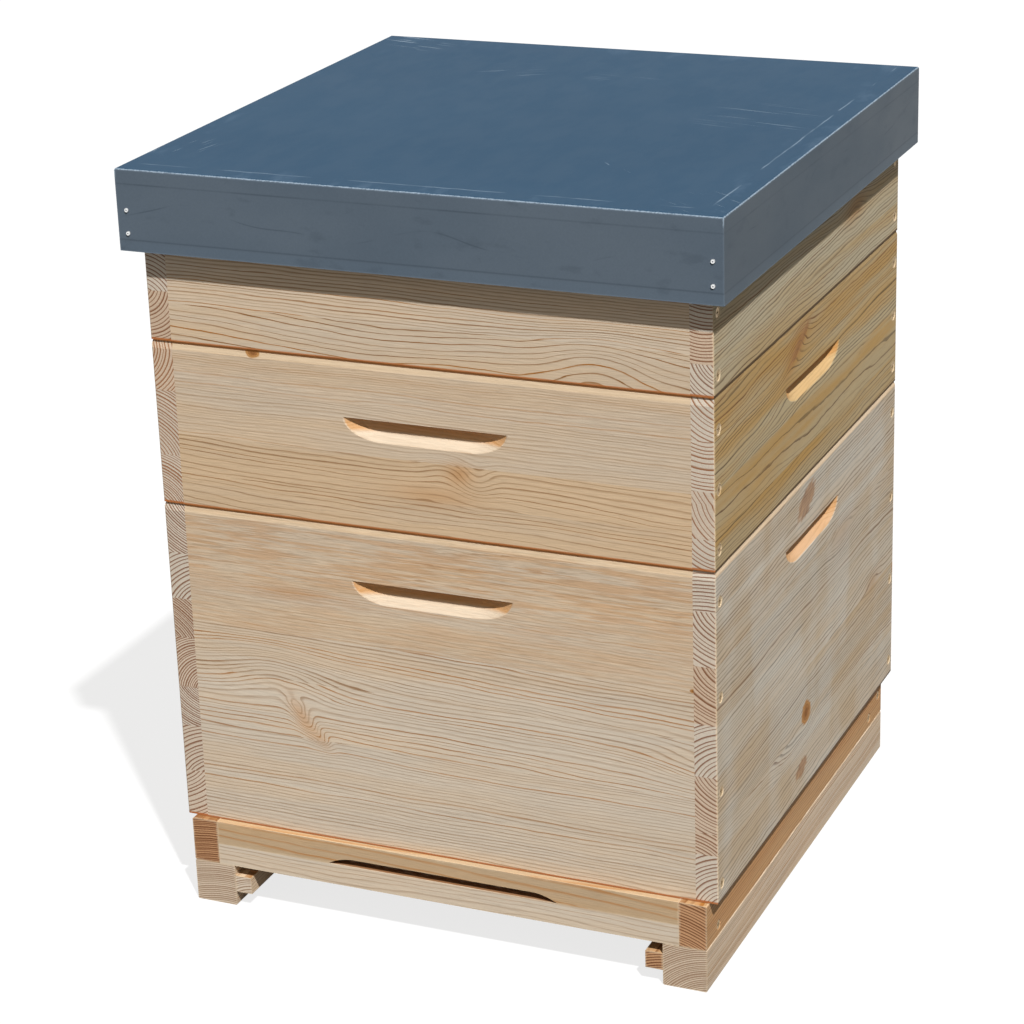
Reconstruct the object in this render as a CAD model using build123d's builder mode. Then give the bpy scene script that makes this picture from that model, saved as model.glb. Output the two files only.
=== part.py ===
"""Twelve-frame beehive: base with mesh floor and tray, brood box, two supers, cover board and sheet roof.

Sizes are in millimetres. +Z is up, the entrance faces -Y, and the origin lies on the ground under the
middle of the boxes.
"""

import os

from build123d import *

# Boxes: the brood box and both supers share one plan
box_width = 508.0
box_depth = 508.0
wall = 20.0
brood_height = 302.0
super_height = 148.0
end_chamfer_height = 7.5
end_chamfer_depth = 2.0
side_chamfer_height = 4.5
side_chamfer_depth = 1.4
corner_round = 1.5

# Hand-hold in each wall: a hollow under a flat ledge that runs out below and towards both ends; its floor
# bends at a knee, so it is steeper near the face
grip_width = 150.0
grip_height = 19.5
grip_depth = 10.0
grip_back = 0.6
grip_end = 36.0
grip_runout = 36.0
grip_knee_depth = 6.0
grip_knee_height = 12.5
grip_knee_runout = 14.0
grip_drop = 51.0

# Wood screws
screw_length = 50.0
screw_shank = 4.0
screw_head = 8.4
screw_tip = 5.0
screw_sink = 0.5
screw_clearance = 0.15
screw_low_margin = 16.0
screw_top_margin = 29.0
brood_screws_per_corner = 4
super_screws_per_corner = 3
cross_length = 4.4
cross_width = 1.0
cross_depth = 1.2

# Base: runners, side rails on them, and cross pieces between the rails
base_inset = 8.0
front_lip = 7.5
runner_width = 40.0
runner_height = 40.0
rail_width = 25.0
sill_height = 20.0
sill_depth = 70.0
sill_screw_inset = 30.0
entrance_bar_height = 22.0
entrance_bar_depth = 25.0
entrance_width = 220.0
entrance_height = 7.0
entrance_taper = 25.0
back_bar_depth = 20.0
rear_bar_depth = 40.0
edge_ease = 1.0

# Floor mesh and the tray under it
mesh_thickness = 1.0
mesh_lap = 15.0
mesh_clearance = 0.5
mesh_pitch = 25.0
mesh_wire = 3.0
cleat_width = 16.0
cleat_height = 16.0
tray_slot = 10.0
tray_clearance = 2.0
tray_thickness = 3.0
tray_setback = 30.0
tray_pull_width = 120.0
tray_pull_length = 10.0

# Frames, hung by their lugs in a rebate of the front and back walls
frame_pitch = 38.0
frame_gap = 0.4
frame_top_space = 6.0
brood_frame_bottom_space = 10.0
super_frame_bottom_space = 2.0
frame_end_space = 10.0
ledge_width = 10.0
lug_length = 17.0
lug_thickness = 10.0
top_bar_width = 25.0
top_bar_thickness = 20.0
end_bar_thickness = 8.0
end_bar_width = 25.0
brood_shoulder_height = 95.0
super_shoulder_height = 60.0
shoulder_slope = 10.0
bottom_bar_width = 18.0
bottom_bar_thickness = 9.0
foundation_thickness = 2.0

# Cover board and roof
cover_thickness = 3.0
cover_inset = 1.0
roof_gap = 13.2
roof_sheet_thickness = 0.8
roof_height = 71.0
roof_bend = 2.0
hem_height = 9.0
tab_width = 18.0
tab_top_gap = 6.0
rivet_inset = 9.0
rivet_levels = (15.5, 35.5)
rivet_shank = 2.4
rivet_clearance = 0.1
rivet_head = 4.2
rivet_head_top = 3.2
rivet_head_height = 1.0
rivet_hollow = 1.4
rivet_hollow_depth = 0.7
rivet_tail = 3.6
rivet_tail_length = 2.5

# Sizes that follow from the driving ones
inner_width = box_width - 2 * wall
inner_depth = box_depth - 2 * wall
rail_height = sill_height + entrance_bar_height
base_height = runner_height + rail_height
base_width = box_width - 2 * base_inset
base_depth = box_depth
base_front = -box_depth / 2 - front_lip
base_back = base_front + base_depth
base_middle = (base_front + base_back) / 2
rail_inner_x = base_width / 2 - rail_width
runner_inner_x = base_width / 2 - runner_width
sill_back = base_front + sill_depth
rear_bar_back = base_back - back_bar_depth
rear_bar_front = rear_bar_back - rear_bar_depth
floor_level = runner_height + sill_height
cleat_top = runner_height - tray_slot
brood_bottom = base_height
lower_super_bottom = brood_bottom + brood_height
upper_super_bottom = lower_super_bottom + super_height
cover_bottom = upper_super_bottom + super_height
roof_top = cover_bottom + cover_thickness + roof_sheet_thickness
roof_rim = roof_top - roof_height
roof_width = box_width + 2 * (roof_gap + roof_sheet_thickness)
roof_depth = box_depth + 2 * (roof_gap + roof_sheet_thickness)
roof_inner_width = roof_width - 2 * roof_sheet_thickness
roof_inner_depth = roof_depth - 2 * roof_sheet_thickness
rebate_depth = frame_top_space + lug_thickness
frame_length = inner_depth - 2 * frame_end_space
frame_clear = frame_length - 2 * end_bar_thickness
frame_count = int(inner_width // frame_pitch)
screw_hole = screw_shank / 2 + screw_clearance

ON_TOP = (Align.CENTER, Align.CENTER, Align.MIN)
HANGING = (Align.CENTER, Align.CENTER, Align.MAX)


def save(piece, name):
    """Labels one finished piece and writes it under its own name."""
    piece.label = name
    export_step(piece, f"parts/{name}.step")


def across(side, x, y, z):
    """A plane whose normal points outwards along X on the given side."""
    return Plane(origin=(side * x, y, z), x_dir=(0, side, 0), z_dir=(side, 0, 0))


def screw_levels(height, count):
    """Heights of one corner's screws above the lower edge of their box."""
    step = (height - screw_low_margin - screw_top_margin) / (count - 1)
    return [screw_low_margin + step * number for number in range(count)]


def screws(places):
    """Countersunk screws, one solid each, driven inwards from the given planes."""
    head_radius = screw_head / 2
    shank_radius = screw_shank / 2
    head_depth = head_radius - shank_radius
    shank_length = screw_length - head_depth - screw_tip
    tip_radius = shank_radius / 4
    heads = [place.offset(-screw_sink) for place in places]
    with BuildPart() as group:
        with Locations(*heads):
            Cone(shank_radius, head_radius, head_depth, align=HANGING)
        with Locations(*[head.offset(-head_depth) for head in heads]):
            Cylinder(shank_radius, shank_length, align=HANGING)
        with Locations(*[head.offset(-head_depth - shank_length) for head in heads]):
            Cone(tip_radius, shank_radius, screw_tip, align=HANGING)
        with Locations(*heads):
            Box(cross_length, cross_width, cross_depth, align=HANGING, mode=Mode.SUBTRACT)
            Box(cross_width, cross_length, cross_depth, align=HANGING, mode=Mode.SUBTRACT)
    return group.part


def sunk_holes(places, depth):
    """Cutters for countersunk screw holes; the sink clears the head by the same amount as the shank."""
    sink_radius = screw_head / 2 + screw_sink + screw_clearance
    with BuildPart() as cutters:
        with Locations(*places):
            Cylinder(screw_hole, depth, align=HANGING)
            Cone(screw_hole, sink_radius, sink_radius - screw_hole, align=HANGING)
    return cutters.part


# Base

def base_beam(x, width, bottom, height):
    """A beam that runs the whole depth of the base."""
    with BuildPart() as beam:
        with Locations((x, base_middle, bottom)):
            Box(width, base_depth, height, align=ON_TOP)
        chamfer(beam.edges().filter_by(Axis.Y), edge_ease)
    return beam.part


def base_screw_planes(side):
    """Where the screws enter one side rail: into the sill, the rear floor bar and the back bar."""
    sill_middle = runner_height + sill_height / 2
    return [
        across(side, base_width / 2, base_front + sill_screw_inset, sill_middle),
        across(side, base_width / 2, (rear_bar_front + rear_bar_back) / 2, sill_middle),
        across(side, base_width / 2, base_back - back_bar_depth / 2, runner_height + rail_height / 2),
    ]


def cross_piece(front, back, bottom, top, screw_places):
    """A board between the side rails, with a blind hole for each screw that enters its ends."""
    with BuildPart() as piece:
        with Locations((0, (front + back) / 2, bottom)):
            Box(2 * rail_inner_x, back - front, top - bottom, align=ON_TOP)
        with Locations(*[place.offset(-rail_width) for place in screw_places]):
            Hole(screw_hole, screw_length - rail_width + screw_sink + screw_tip)
    return piece.part


def entrance_bar():
    """The upper front bar; the entrance is cut along its lower edge and tapers out at both ends."""
    half = entrance_width / 2
    with BuildPart() as bar:
        with Locations((0, base_front + entrance_bar_depth / 2, floor_level)):
            Box(2 * rail_inner_x, entrance_bar_depth, entrance_bar_height, align=ON_TOP)
        with BuildSketch(Plane(origin=(0, base_front, floor_level), x_dir=(1, 0, 0), z_dir=(0, -1, 0))):
            with BuildLine():
                Line((-half, 0), (half, 0))
                TangentArc((half - entrance_taper, entrance_height), (half, 0), tangent=(1, 0))
                Line((half - entrance_taper, entrance_height), (entrance_taper - half, entrance_height))
                TangentArc((entrance_taper - half, entrance_height), (-half, 0), tangent=(-1, 0))
            make_face()
        extrude(amount=-entrance_bar_depth, mode=Mode.SUBTRACT)
    return bar.part


def floor_mesh():
    """Wire mesh over the open floor; its rim laps onto the sill, the battens and the rear floor bar."""
    front = sill_back - mesh_lap
    back = rear_bar_front + mesh_lap
    width = 2 * (rail_inner_x - mesh_clearance)
    gaps_x = int((width - 2 * mesh_lap) // mesh_pitch)
    gaps_y = int((back - front - 2 * mesh_lap) // mesh_pitch)
    with BuildPart() as mesh:
        with BuildSketch(Plane.XY.offset(floor_level)):
            with Locations((0, (front + back) / 2)):
                Rectangle(width, back - front)
                with GridLocations(mesh_pitch, mesh_pitch, gaps_x, gaps_y):
                    Rectangle(mesh_pitch - mesh_wire, mesh_pitch - mesh_wire, mode=Mode.SUBTRACT)
        extrude(amount=mesh_thickness)
    return mesh.part


def varroa_tray():
    """A flat board that rests on the cleats and is drawn out at the back by its pull."""
    front = base_front + tray_setback
    width = 2 * (runner_inner_x - tray_clearance)
    with BuildPart() as tray:
        with BuildSketch(Plane.XY.offset(cleat_top)) as outline:
            with Locations((0, (front + base_back) / 2)):
                Rectangle(width, base_back - front)
            with Locations((0, base_back + tray_pull_length / 2)):
                Rectangle(tray_pull_width, tray_pull_length)
            fillet(outline.vertices().sort_by(Axis.Y)[-2:], tray_pull_length / 2)
        extrude(amount=tray_thickness)
    return tray.part


def build_base():
    """The root of the hive: runners, rails, cross pieces, floor and tray."""
    left_screws = base_screw_planes(-1)
    right_screws = base_screw_planes(1)
    for name, side, rail_screws in (("left", -1, left_screws), ("right", 1, right_screws)):
        runner_x = side * (base_width - runner_width) / 2
        save(base_beam(runner_x, runner_width, 0, runner_height), f"{name}_runner")
        with BuildPart() as rail:
            add(base_beam(side * (base_width - rail_width) / 2, rail_width, runner_height, rail_height))
            add(sunk_holes(rail_screws, rail_width), mode=Mode.SUBTRACT)
        save(rail.part, f"{name}_side_rail")
        with BuildPart() as batten:
            with Locations((side * (runner_inner_x + rail_inner_x) / 2, sill_back, runner_height)):
                Box(
                    rail_inner_x - runner_inner_x,
                    rear_bar_front - sill_back,
                    sill_height,
                    align=(Align.CENTER, Align.MIN, Align.MIN),
                )
        save(batten.part, f"{name}_mesh_batten")
        with BuildPart() as cleat:
            with Locations((side * (runner_inner_x - cleat_width / 2), base_middle, cleat_top)):
                Box(cleat_width, base_depth, cleat_height, align=HANGING)
        save(cleat.part, f"{name}_tray_cleat")
    floor_pairs = list(zip(left_screws, right_screws))
    sill = cross_piece(base_front, sill_back, runner_height, floor_level, floor_pairs[0])
    rear_bar = cross_piece(rear_bar_front, rear_bar_back, runner_height, floor_level, floor_pairs[1])
    back_bar = cross_piece(rear_bar_back, base_back, runner_height, base_height, floor_pairs[2])
    save(sill, "sill_board")
    save(rear_bar, "rear_floor_bar")
    save(back_bar, "back_bar")
    save(entrance_bar(), "entrance_bar")
    save(floor_mesh(), "floor_mesh")
    save(screws(left_screws + right_screws), "base_screws")
    save(varroa_tray(), "varroa_tray")


# Boxes

def grip_cutter(face, box_top):
    """The hollow of one hand-hold, cut inwards from a face whose origin lies box_top under the rim."""
    top = box_top - grip_drop
    sections = (
        (0, 0, grip_height),
        (grip_knee_depth, grip_knee_runout, grip_knee_height),
        (grip_depth, grip_runout, grip_back),
    )
    with BuildPart() as cutter:
        for depth, runout, height in sections:
            half = grip_width / 2 - runout
            end_run = grip_end * height / grip_height
            with BuildSketch(face.offset(-depth)):
                with BuildLine():
                    Line((-half, top), (half, top))
                    EllipticalCenterArc((half - end_run, top), end_run, height, 270, arc_size=90)
                    Line((half - end_run, top - height), (end_run - half, top - height))
                    EllipticalCenterArc((end_run - half, top), end_run, height, 180, arc_size=90)
                make_face()
        loft(ruled=True)
    return cutter.part


def corner_screw_planes(side, bottom, levels):
    """Where the screws enter one side wall: in line with the middle of the front and back walls."""
    row = box_depth / 2 - wall / 2
    return [across(side, box_width / 2, y, bottom + level) for y in (-row, row) for level in levels]


def side_panel(side, bottom, height, levels):
    """Left or right wall: it runs the whole depth, so its end grain shows at the front and the back."""
    with BuildPart() as panel:
        with Locations((side * (box_width - wall) / 2, 0, bottom)):
            Box(wall, box_depth, height, align=ON_TOP)
        top = panel.faces().sort_by(Axis.Z)[-1]
        chamfer(top.edges().filter_by(Axis.X), end_chamfer_depth, end_chamfer_height, reference=top)
        top = panel.faces().sort_by(Axis.Z)[-1]
        rim = top.edges().sort_by(Axis.X, reverse=side < 0)
        chamfer(rim[-1], side_chamfer_depth, side_chamfer_height, reference=top)
        uprights = panel.edges().filter_by(Axis.Z).sort_by(Axis.X, reverse=side > 0)
        fillet(uprights[:2], corner_round)
        add(grip_cutter(across(side, box_width / 2, 0, bottom), height), mode=Mode.SUBTRACT)
        add(sunk_holes(corner_screw_planes(side, bottom, levels), wall), mode=Mode.SUBTRACT)
    return panel.part


def end_panel(facing, bottom, height, levels):
    """Front or back wall between the side walls, with a rebate inside its top edge for the frame lugs."""
    outer_y = facing * box_depth / 2
    middle_y = outer_y - facing * wall / 2
    face = Plane(origin=(0, outer_y, bottom), x_dir=(-facing, 0, 0), z_dir=(0, facing, 0))
    ends = [across(side, inner_width / 2, middle_y, bottom + level) for side in (-1, 1) for level in levels]
    with BuildPart() as panel:
        with Locations((0, middle_y, bottom)):
            Box(inner_width, wall, height, align=ON_TOP)
        top = panel.faces().sort_by(Axis.Z)[-1]
        rim = top.edges().sort_by(Axis.Y, reverse=facing > 0)
        chamfer(rim[0], end_chamfer_depth, end_chamfer_height, reference=top)
        with Locations((0, outer_y - facing * (wall - ledge_width / 2), bottom + height)):
            Box(inner_width, ledge_width, rebate_depth, align=HANGING, mode=Mode.SUBTRACT)
        add(grip_cutter(face, height), mode=Mode.SUBTRACT)
        with Locations(*ends):
            Hole(screw_hole, screw_length - wall + screw_sink + screw_tip)
    return panel.part


def build_box(name, bottom, height, screws_per_corner):
    """Four walls and the screws that hold them."""
    levels = screw_levels(height, screws_per_corner)
    save(end_panel(-1, bottom, height, levels), f"{name}_front_panel")
    save(end_panel(1, bottom, height, levels), f"{name}_back_panel")
    save(side_panel(-1, bottom, height, levels), f"{name}_left_panel")
    save(side_panel(1, bottom, height, levels), f"{name}_right_panel")
    places = [place for side in (-1, 1) for place in corner_screw_planes(side, bottom, levels)]
    save(screws(places), f"{name}_screws")


# Frames

def frame_pieces(x, top, height, shoulder_height):
    """One frame as five touching solids: top bar, two end bars, bottom bar and wax foundation."""
    bottom = top - height
    lug_bottom = top - lug_thickness
    bar_bottom = top - top_bar_thickness
    lug_end = frame_length / 2 + lug_length
    half_clear = frame_clear / 2
    half_shoulder = (frame_pitch - frame_gap) / 2
    half_end_bar = end_bar_width / 2
    shoulder = lug_bottom - shoulder_height
    with BuildPart() as top_bar:
        with BuildSketch(Plane.YZ.offset(x)):
            with BuildLine():
                Polyline(
                    (-lug_end, top),
                    (lug_end, top),
                    (lug_end, lug_bottom),
                    (half_clear, lug_bottom),
                    (half_clear, bar_bottom),
                    (-half_clear, bar_bottom),
                    (-half_clear, lug_bottom),
                    (-lug_end, lug_bottom),
                    close=True,
                )
            make_face()
        extrude(amount=top_bar_width / 2, both=True)
    end_bars = []
    for y in (-half_clear, half_clear + end_bar_thickness):
        with BuildPart() as end_bar:
            with BuildSketch(Plane(origin=(x, y, 0), x_dir=(1, 0, 0), z_dir=(0, -1, 0))):
                with BuildLine():
                    Polyline(
                        (-half_shoulder, lug_bottom),
                        (half_shoulder, lug_bottom),
                        (half_shoulder, shoulder),
                        (half_end_bar, shoulder - shoulder_slope),
                        (half_end_bar, bottom),
                        (-half_end_bar, bottom),
                        (-half_end_bar, shoulder - shoulder_slope),
                        (-half_shoulder, shoulder),
                        close=True,
                    )
                make_face()
            extrude(amount=end_bar_thickness)
        end_bars.append(end_bar.part)
    with BuildPart() as bottom_bar:
        with Locations((x, 0, bottom)):
            Box(bottom_bar_width, frame_clear, bottom_bar_thickness, align=ON_TOP)
    with BuildPart() as foundation:
        with Locations((x, 0, bottom + bottom_bar_thickness)):
            Box(foundation_thickness, frame_clear, bar_bottom - bottom - bottom_bar_thickness, align=ON_TOP)
    pieces = [top_bar.part, *end_bars, bottom_bar.part, foundation.part]
    return [solid for piece in pieces for solid in piece.solids()]


def frame_rows(box_bottom, box_height, bottom_space, shoulder_height):
    """The solids of every frame of one box, frame by frame from left to right."""
    top = box_bottom + box_height - frame_top_space
    height = box_height - frame_top_space - bottom_space
    first = -(frame_count - 1) / 2 * frame_pitch
    return [
        frame_pieces(first + number * frame_pitch, top, height, shoulder_height)
        for number in range(frame_count)
    ]


def build_frames():
    """Brood and lower super frames one node each; the upper super's frames share one node."""
    brood = frame_rows(brood_bottom, brood_height, brood_frame_bottom_space, brood_shoulder_height)
    lower = frame_rows(lower_super_bottom, super_height, super_frame_bottom_space, super_shoulder_height)
    upper = frame_rows(upper_super_bottom, super_height, super_frame_bottom_space, super_shoulder_height)
    for number, solids in enumerate(brood, start=1):
        save(Compound(solids), f"brood_frame_{number:02d}")
    for number, solids in enumerate(lower, start=1):
        save(Compound(solids), f"lower_super_frame_{number:02d}")
    save(Compound([solid for solids in upper for solid in solids]), "upper_super_frames")


# Cover and roof

def cover_board():
    """A thin board on the rim of the upper super, under the roof."""
    with BuildPart() as cover:
        with Locations((0, 0, cover_bottom)):
            Box(box_width - 2 * cover_inset, box_depth - 2 * cover_inset, cover_thickness, align=ON_TOP)
    return cover.part


def rivet_planes():
    """Rivet places on the front and back of the roof, two at each corner, normals pointing outwards."""
    row = roof_width / 2 - rivet_inset
    return [
        Plane(origin=(x, facing * roof_depth / 2, roof_rim + level), z_dir=(0, facing, 0))
        for facing in (-1, 1)
        for x in (-row, row)
        for level in rivet_levels
    ]


def roof_sheet():
    """One folded sheet: top, four sides, hemmed rim, and corner tabs lapped behind the front and back."""
    tab_height = roof_height - hem_height - tab_top_gap
    with BuildPart() as sheet:
        with Locations((0, 0, roof_rim)):
            Box(roof_width, roof_depth, roof_height, align=ON_TOP)
        fillet(sheet.faces().sort_by(Axis.Z)[-1].edges(), roof_bend)
        offset(amount=-roof_sheet_thickness, openings=sheet.faces().sort_by(Axis.Z)[0])
        for facing in (-1, 1):
            lap_y = facing * (roof_inner_depth - roof_sheet_thickness) / 2
            hem_x = facing * (roof_inner_width - roof_sheet_thickness) / 2
            tab_x = (roof_inner_width - tab_width) / 2
            with Locations((0, lap_y, roof_rim)):
                Box(roof_inner_width, roof_sheet_thickness, hem_height, align=ON_TOP)
            with Locations((hem_x, 0, roof_rim)):
                Box(roof_sheet_thickness, roof_inner_depth, hem_height, align=ON_TOP)
            with Locations((-tab_x, lap_y, roof_rim + hem_height), (tab_x, lap_y, roof_rim + hem_height)):
                Box(tab_width, roof_sheet_thickness, tab_height, align=ON_TOP)
        with Locations(*rivet_planes()):
            Hole(rivet_shank / 2 + rivet_clearance, 2 * roof_sheet_thickness)
    return sheet.part


def roof_rivets():
    """Hollow-headed blind rivets through the lapped corners, one solid each."""
    grip = 2 * roof_sheet_thickness
    faces = rivet_planes()
    with BuildPart() as rivets:
        with Locations(*faces):
            Cone(rivet_head / 2, rivet_head_top / 2, rivet_head_height, align=ON_TOP)
            Cylinder(rivet_shank / 2, grip, align=HANGING)
        with Locations(*[face.offset(rivet_head_height) for face in faces]):
            Cylinder(rivet_hollow / 2, rivet_hollow_depth, align=HANGING, mode=Mode.SUBTRACT)
        with Locations(*[face.offset(-grip) for face in faces]):
            Cylinder(rivet_tail / 2, rivet_tail_length, align=HANGING)
    return rivets.part


os.makedirs("parts", exist_ok=True)
build_base()
build_box("brood", brood_bottom, brood_height, brood_screws_per_corner)
build_box("lower_super", lower_super_bottom, super_height, super_screws_per_corner)
build_box("upper_super", upper_super_bottom, super_height, super_screws_per_corner)
build_frames()
save(cover_board(), "cover_board")
save(roof_sheet(), "roof_sheet")
save(roof_rivets(), "roof_rivets")
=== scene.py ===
"""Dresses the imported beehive: bare glued pine boxes, a coated sheet roof, waxed frames and a wire floor.

Lengths in the materials are in millimetres; objects, lamps and the camera are in metres.
"""

import math
import random
from collections import namedtuple

import bpy
from mathutils import Matrix, Vector

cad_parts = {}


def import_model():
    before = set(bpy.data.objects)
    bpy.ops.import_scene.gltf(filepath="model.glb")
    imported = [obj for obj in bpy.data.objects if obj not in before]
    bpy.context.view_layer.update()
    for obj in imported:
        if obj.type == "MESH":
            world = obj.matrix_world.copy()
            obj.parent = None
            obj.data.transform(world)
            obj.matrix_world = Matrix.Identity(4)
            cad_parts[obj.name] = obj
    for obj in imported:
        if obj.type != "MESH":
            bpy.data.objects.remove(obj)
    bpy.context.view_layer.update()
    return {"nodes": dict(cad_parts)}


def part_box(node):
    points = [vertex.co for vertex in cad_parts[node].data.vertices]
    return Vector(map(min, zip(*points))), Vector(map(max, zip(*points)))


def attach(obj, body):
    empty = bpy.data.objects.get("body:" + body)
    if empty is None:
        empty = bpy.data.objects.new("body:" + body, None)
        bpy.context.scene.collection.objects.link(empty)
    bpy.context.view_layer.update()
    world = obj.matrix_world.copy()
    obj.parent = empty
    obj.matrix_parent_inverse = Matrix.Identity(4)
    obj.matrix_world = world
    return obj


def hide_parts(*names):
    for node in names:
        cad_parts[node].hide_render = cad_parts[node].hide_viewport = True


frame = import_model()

NODES = frame["nodes"]


# Shader building

def rgb(red, green, blue):
    """A colour given as it looks on screen, 0 to 255, in the renderer's linear values."""
    def linear(level):
        share = level / 255
        return share / 12.92 if share <= 0.04045 else ((share + 0.055) / 1.055) ** 2.4
    return (linear(red), linear(green), linear(blue), 1.0)


class Signal:
    """A number, vector or colour that varies over a surface; arithmetic on it adds math nodes."""

    def __init__(self, shader, socket):
        self.shader = shader
        self.socket = socket

    def __add__(self, other):
        return self.shader.math("ADD", self, other)

    def __sub__(self, other):
        return self.shader.math("SUBTRACT", self, other)

    def __rsub__(self, other):
        return self.shader.math("SUBTRACT", other, self)

    def __mul__(self, other):
        return self.shader.math("MULTIPLY", self, other)

    def __truediv__(self, other):
        return self.shader.math("DIVIDE", self, other)

    def __abs__(self):
        return self.shader.math("ABSOLUTE", self)

    def __neg__(self):
        return self.shader.math("MULTIPLY", self, -1.0)


class Shader:
    """The node tree of one material, or of the world. Each method adds nodes and returns what they give."""

    def __init__(self, name, kind=bpy.data.materials):
        self.owner = kind.new(name)
        self.owner.use_nodes = True
        self.tree = self.owner.node_tree
        self.tree.nodes.clear()

    def node(self, kind, inputs, output=0, **settings):
        """Adds a node; each input, by name or number, is linked to a signal or set to a constant."""
        made = self.tree.nodes.new("ShaderNode" + kind)
        for setting, value in settings.items():
            setattr(made, setting, value)
        for socket, value in inputs.items():
            if isinstance(value, Signal):
                self.tree.links.new(value.socket, made.inputs[socket])
            else:
                made.inputs[socket].default_value = value
        return Signal(self, made.outputs[output])

    def math(self, operation, *values):
        return self.node("Math", dict(enumerate(values)), operation=operation)

    def parts(self, vector):
        """The three numbers of a vector or colour."""
        split = self.node("SeparateXYZ", {0: vector})
        return [Signal(self, socket) for socket in split.socket.node.outputs]

    def place(self):
        """Where the surface is in the row frame, in millimetres; it moves with the piece."""
        metres = self.node("TexCoord", {}, "Object")
        return self.parts(self.node("VectorMath", {0: metres, "Scale": 1000.0}, operation="SCALE"))

    def facing(self):
        """The surface's own normal, in the frame of the piece."""
        return self.parts(self.node("TexCoord", {}, "Normal"))

    def vector(self, x, y, z):
        return self.node("CombineXYZ", {0: x, 1: y, 2: z})

    def smooth(self, value, start, end, low=0.0, high=1.0):
        """Goes from low to high as the value goes from start to end, and stays there."""
        ends = {"From Min": start, "From Max": end, "To Min": low, "To Max": high}
        return self.node("MapRange", {"Value": value, **ends}, interpolation_type="SMOOTHSTEP")

    def mix(self, share, first, second):
        return self.node("Mix", {0: share, 6: first, 7: second}, 2, data_type="RGBA")

    def scale(self, colour, share):
        return self.node("VectorMath", {0: colour, "Scale": share}, operation="SCALE")

    def noise(self, vector, detail=2.0, roughness=0.5):
        """Smooth noise around zero, about -0.5 to 0.5, with features one unit apart."""
        inputs = {"Vector": vector, "Scale": 1.0, "Detail": detail, "Roughness": roughness}
        return self.node("TexNoise", inputs) - 0.5

    def noise_along(self, value):
        """Smooth noise around zero that depends on one number."""
        inputs = {"W": value, "Scale": 1.0, "Detail": 1.0}
        return self.node("TexNoise", inputs, noise_dimensions="1D") - 0.5

    def pick(self, number):
        """A random share, 0 to 1, of its own for each number."""
        return self.node("TexWhiteNoise", {"W": number}, noise_dimensions="1D")

    def cells(self, vector):
        """Distance from the nearest of many random points one unit apart."""
        return self.node("TexVoronoi", {"Vector": vector, "Scale": 1.0})

    def bump(self, height, distance, strength=1.0):
        inputs = {"Height": height, "Distance": distance, "Strength": strength}
        return self.node("Bump", inputs)

    def finish(self, colour, roughness, normal=None, metallic=0.0, specular=0.5):
        """Shows a surface with these values and returns the material."""
        inputs = {"Base Color": colour, "Roughness": roughness}
        inputs.update({"Metallic": metallic, "Specular IOR Level": specular})
        if normal is not None:
            inputs["Normal"] = normal
        self.show(self.node("BsdfPrincipled", inputs))
        return self.owner

    def show(self, surface, kind="OutputMaterial"):
        """Links a surface to the tree's output."""
        output = self.tree.nodes.new("ShaderNode" + kind)
        self.tree.links.new(surface.socket, output.inputs["Surface"])


def dress(node, material):
    """Gives a CAD node its material through the object's own slots."""
    piece = NODES[node]
    if not piece.material_slots:
        piece.data.materials.append(None)
    for place in piece.material_slots:
        place.link = "OBJECT"
        place.material = material


def box_mm(node):
    """The two corners of a node's box, in millimetres."""
    low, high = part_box(node)
    return low * 1000, high * 1000


def edge_distance(shader, place, low, high):
    """Distance from the nearest edge of a box: the second smallest of the distances from its faces."""
    a, b, c = [
        (top - bottom) / 2 - abs(at - (top + bottom) / 2)
        for at, bottom, top in zip(place, low, high)
    ]
    lower = shader.math("MINIMUM", a, b)
    upper = shader.math("MAXIMUM", a, b)
    return shader.math("MAXIMUM", lower, shader.math("MINIMUM", upper, c))


# Wood: strips of pine glued side by side, each cut from its own place in the log

# A strip: its height, the spacing of its rings, the log's middle seen from the strip's own middle, the slope
# of the grain, how light and how warm it is, the strength of the lines and how felted they are
Strip = namedtuple("Strip", "height spacing pith_up pith_in slope light warm line fuzz", defaults=(1.0, 0.0))

# A knot: its place, half length and half height, how far it lifts the rings and parts them, how it leans, the
# level of its hill at which a brown heart begins (0 for none) and how strongly the wood round it is stained
Knot = namedtuple("Knot", "along up length height lift part lean core stain", defaults=(0.0, 0.0, 0.0))

# A brown patch: its place, half length, half height and lean
Patch = namedtuple("Patch", "along up length height lean")

# A kind of wood: colours of its faces, ends, cuts and stains, then shares of streaks and lines, the waviness
# of the rings, the breadth of the lines and the share of weathered haze
Timber = namedtuple(
    "Timber",
    "early warm late bold end_early end_warm end_late smooth rim stain streak lines wave broad weather",
)

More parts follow.
